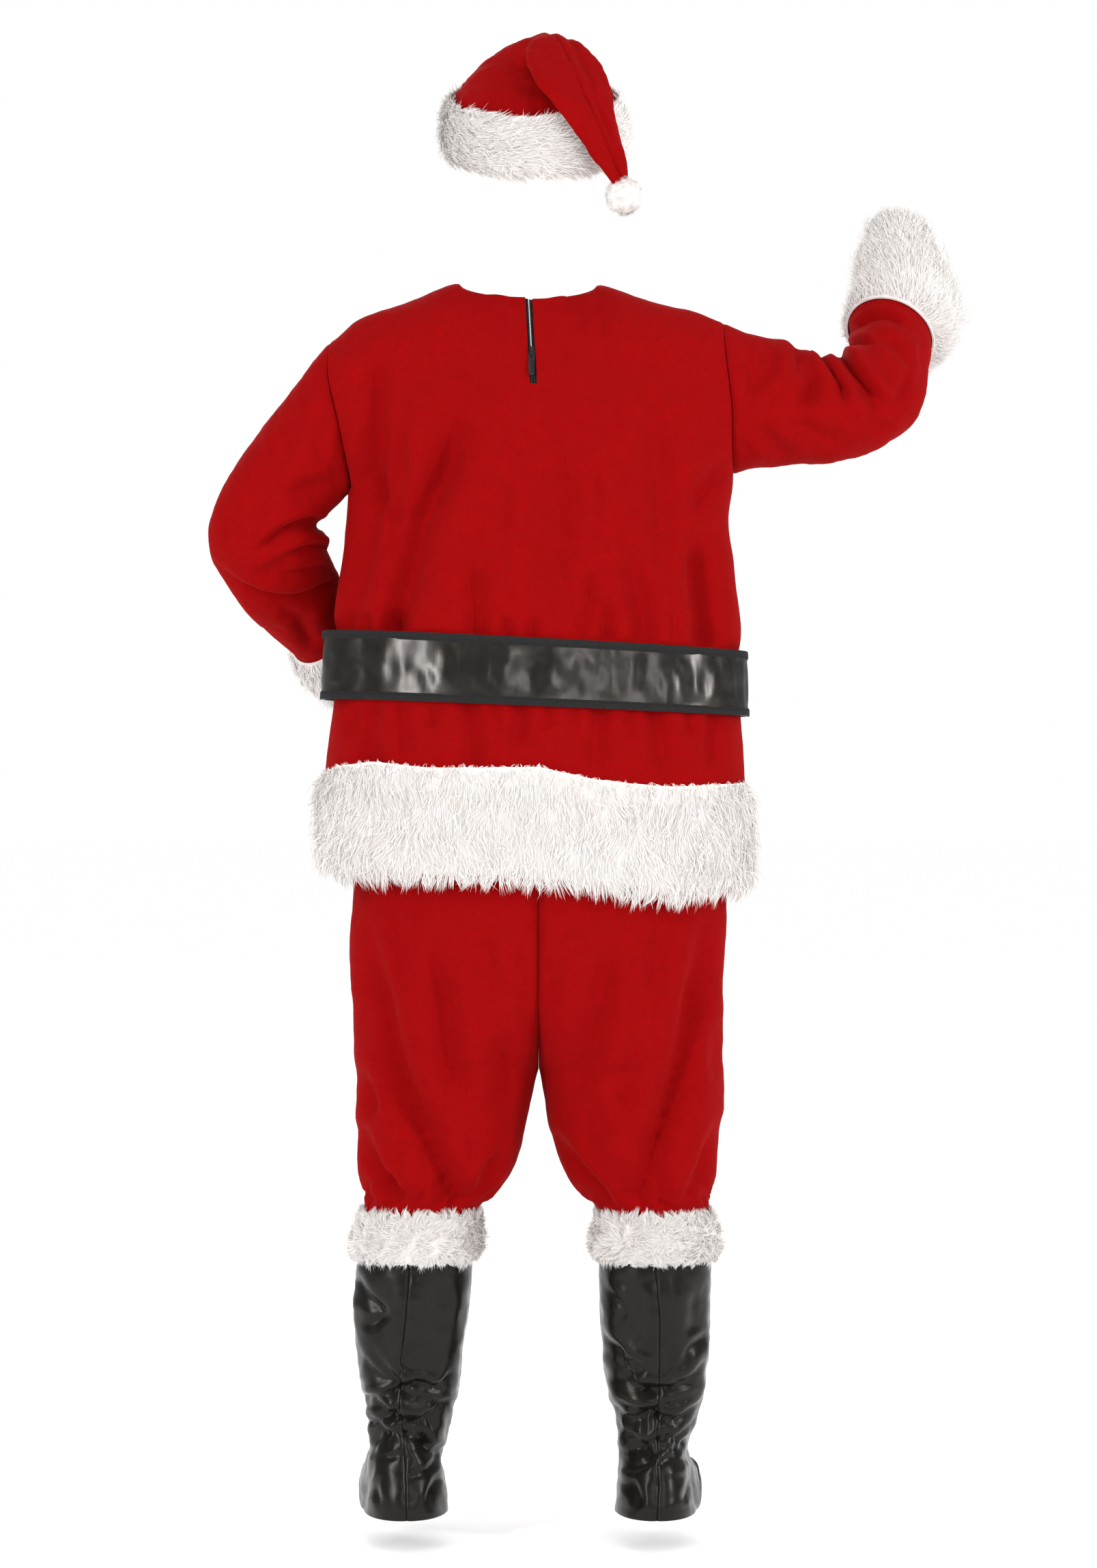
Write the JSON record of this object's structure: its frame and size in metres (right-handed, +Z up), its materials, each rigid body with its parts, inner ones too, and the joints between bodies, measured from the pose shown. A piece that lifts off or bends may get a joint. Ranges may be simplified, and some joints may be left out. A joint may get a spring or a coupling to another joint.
{
  "type": "santa suit",
  "caption": "Santa suit as worn, hollow: red plush jacket with belt, trousers and tailed cap, white fur trims with pompom, and black vinyl boot covers with fur tops.",
  "frame": {"origin": "middle of the neck opening, level with the top of the shoulders, where the wearer holds the suit up", "axes": "+Z up, -Y the way the wearer faces, +X to the wearer's left"},
  "size_m": [0.9422, 0.4282, 1.8336],
  "materials": {
    "red_fleece": "soft brushed nap, dull",
    "white_fur": "long-pile fur, dull",
    "black_vinyl": "smooth glossy vinyl on a cloth backing",
    "black_binding": "woven tape, matte",
    "buckle_metal": "plain polished",
    "zip_metal": "black, satin"
  },
  "bodies": {
    "suit": {"belt_binding_lower": "black_binding", "belt_binding_upper": "black_binding", "belt_buckle": "buckle_metal", "belt_panel": "black_vinyl", "boot_cover_left": "black_vinyl", "boot_cover_right": "black_vinyl", "boot_fur_left": "white_fur", "boot_fur_right": "white_fur", "cap_brim_fur": "white_fur", "cap_crown": "red_fleece", "cap_pompom": "white_fur", "cuff_fur_left": "white_fur", "cuff_fur_right": "white_fur", "jacket_back": "red_fleece", "jacket_front": "red_fleece", "jacket_hem_fur": "white_fur", "sleeve_left": "red_fleece", "sleeve_right": "red_fleece", "trouser_leg_left": "red_fleece", "trouser_leg_right": "red_fleece", "zip_slider": "zip_metal", "zip_tape_left": "black_binding", "zip_tape_right": "black_binding"},
    "pull": {"zip_pull": "zip_metal"}
  },
  "joints": [
    {"name": "zip_pull_swing", "type": "hinge", "parent": "suit", "child": "pull", "pos_m": [-0.00366, 0.10243, -0.06848], "axis": [1, 0, 0], "range_deg": [0, 150]}
  ]
}
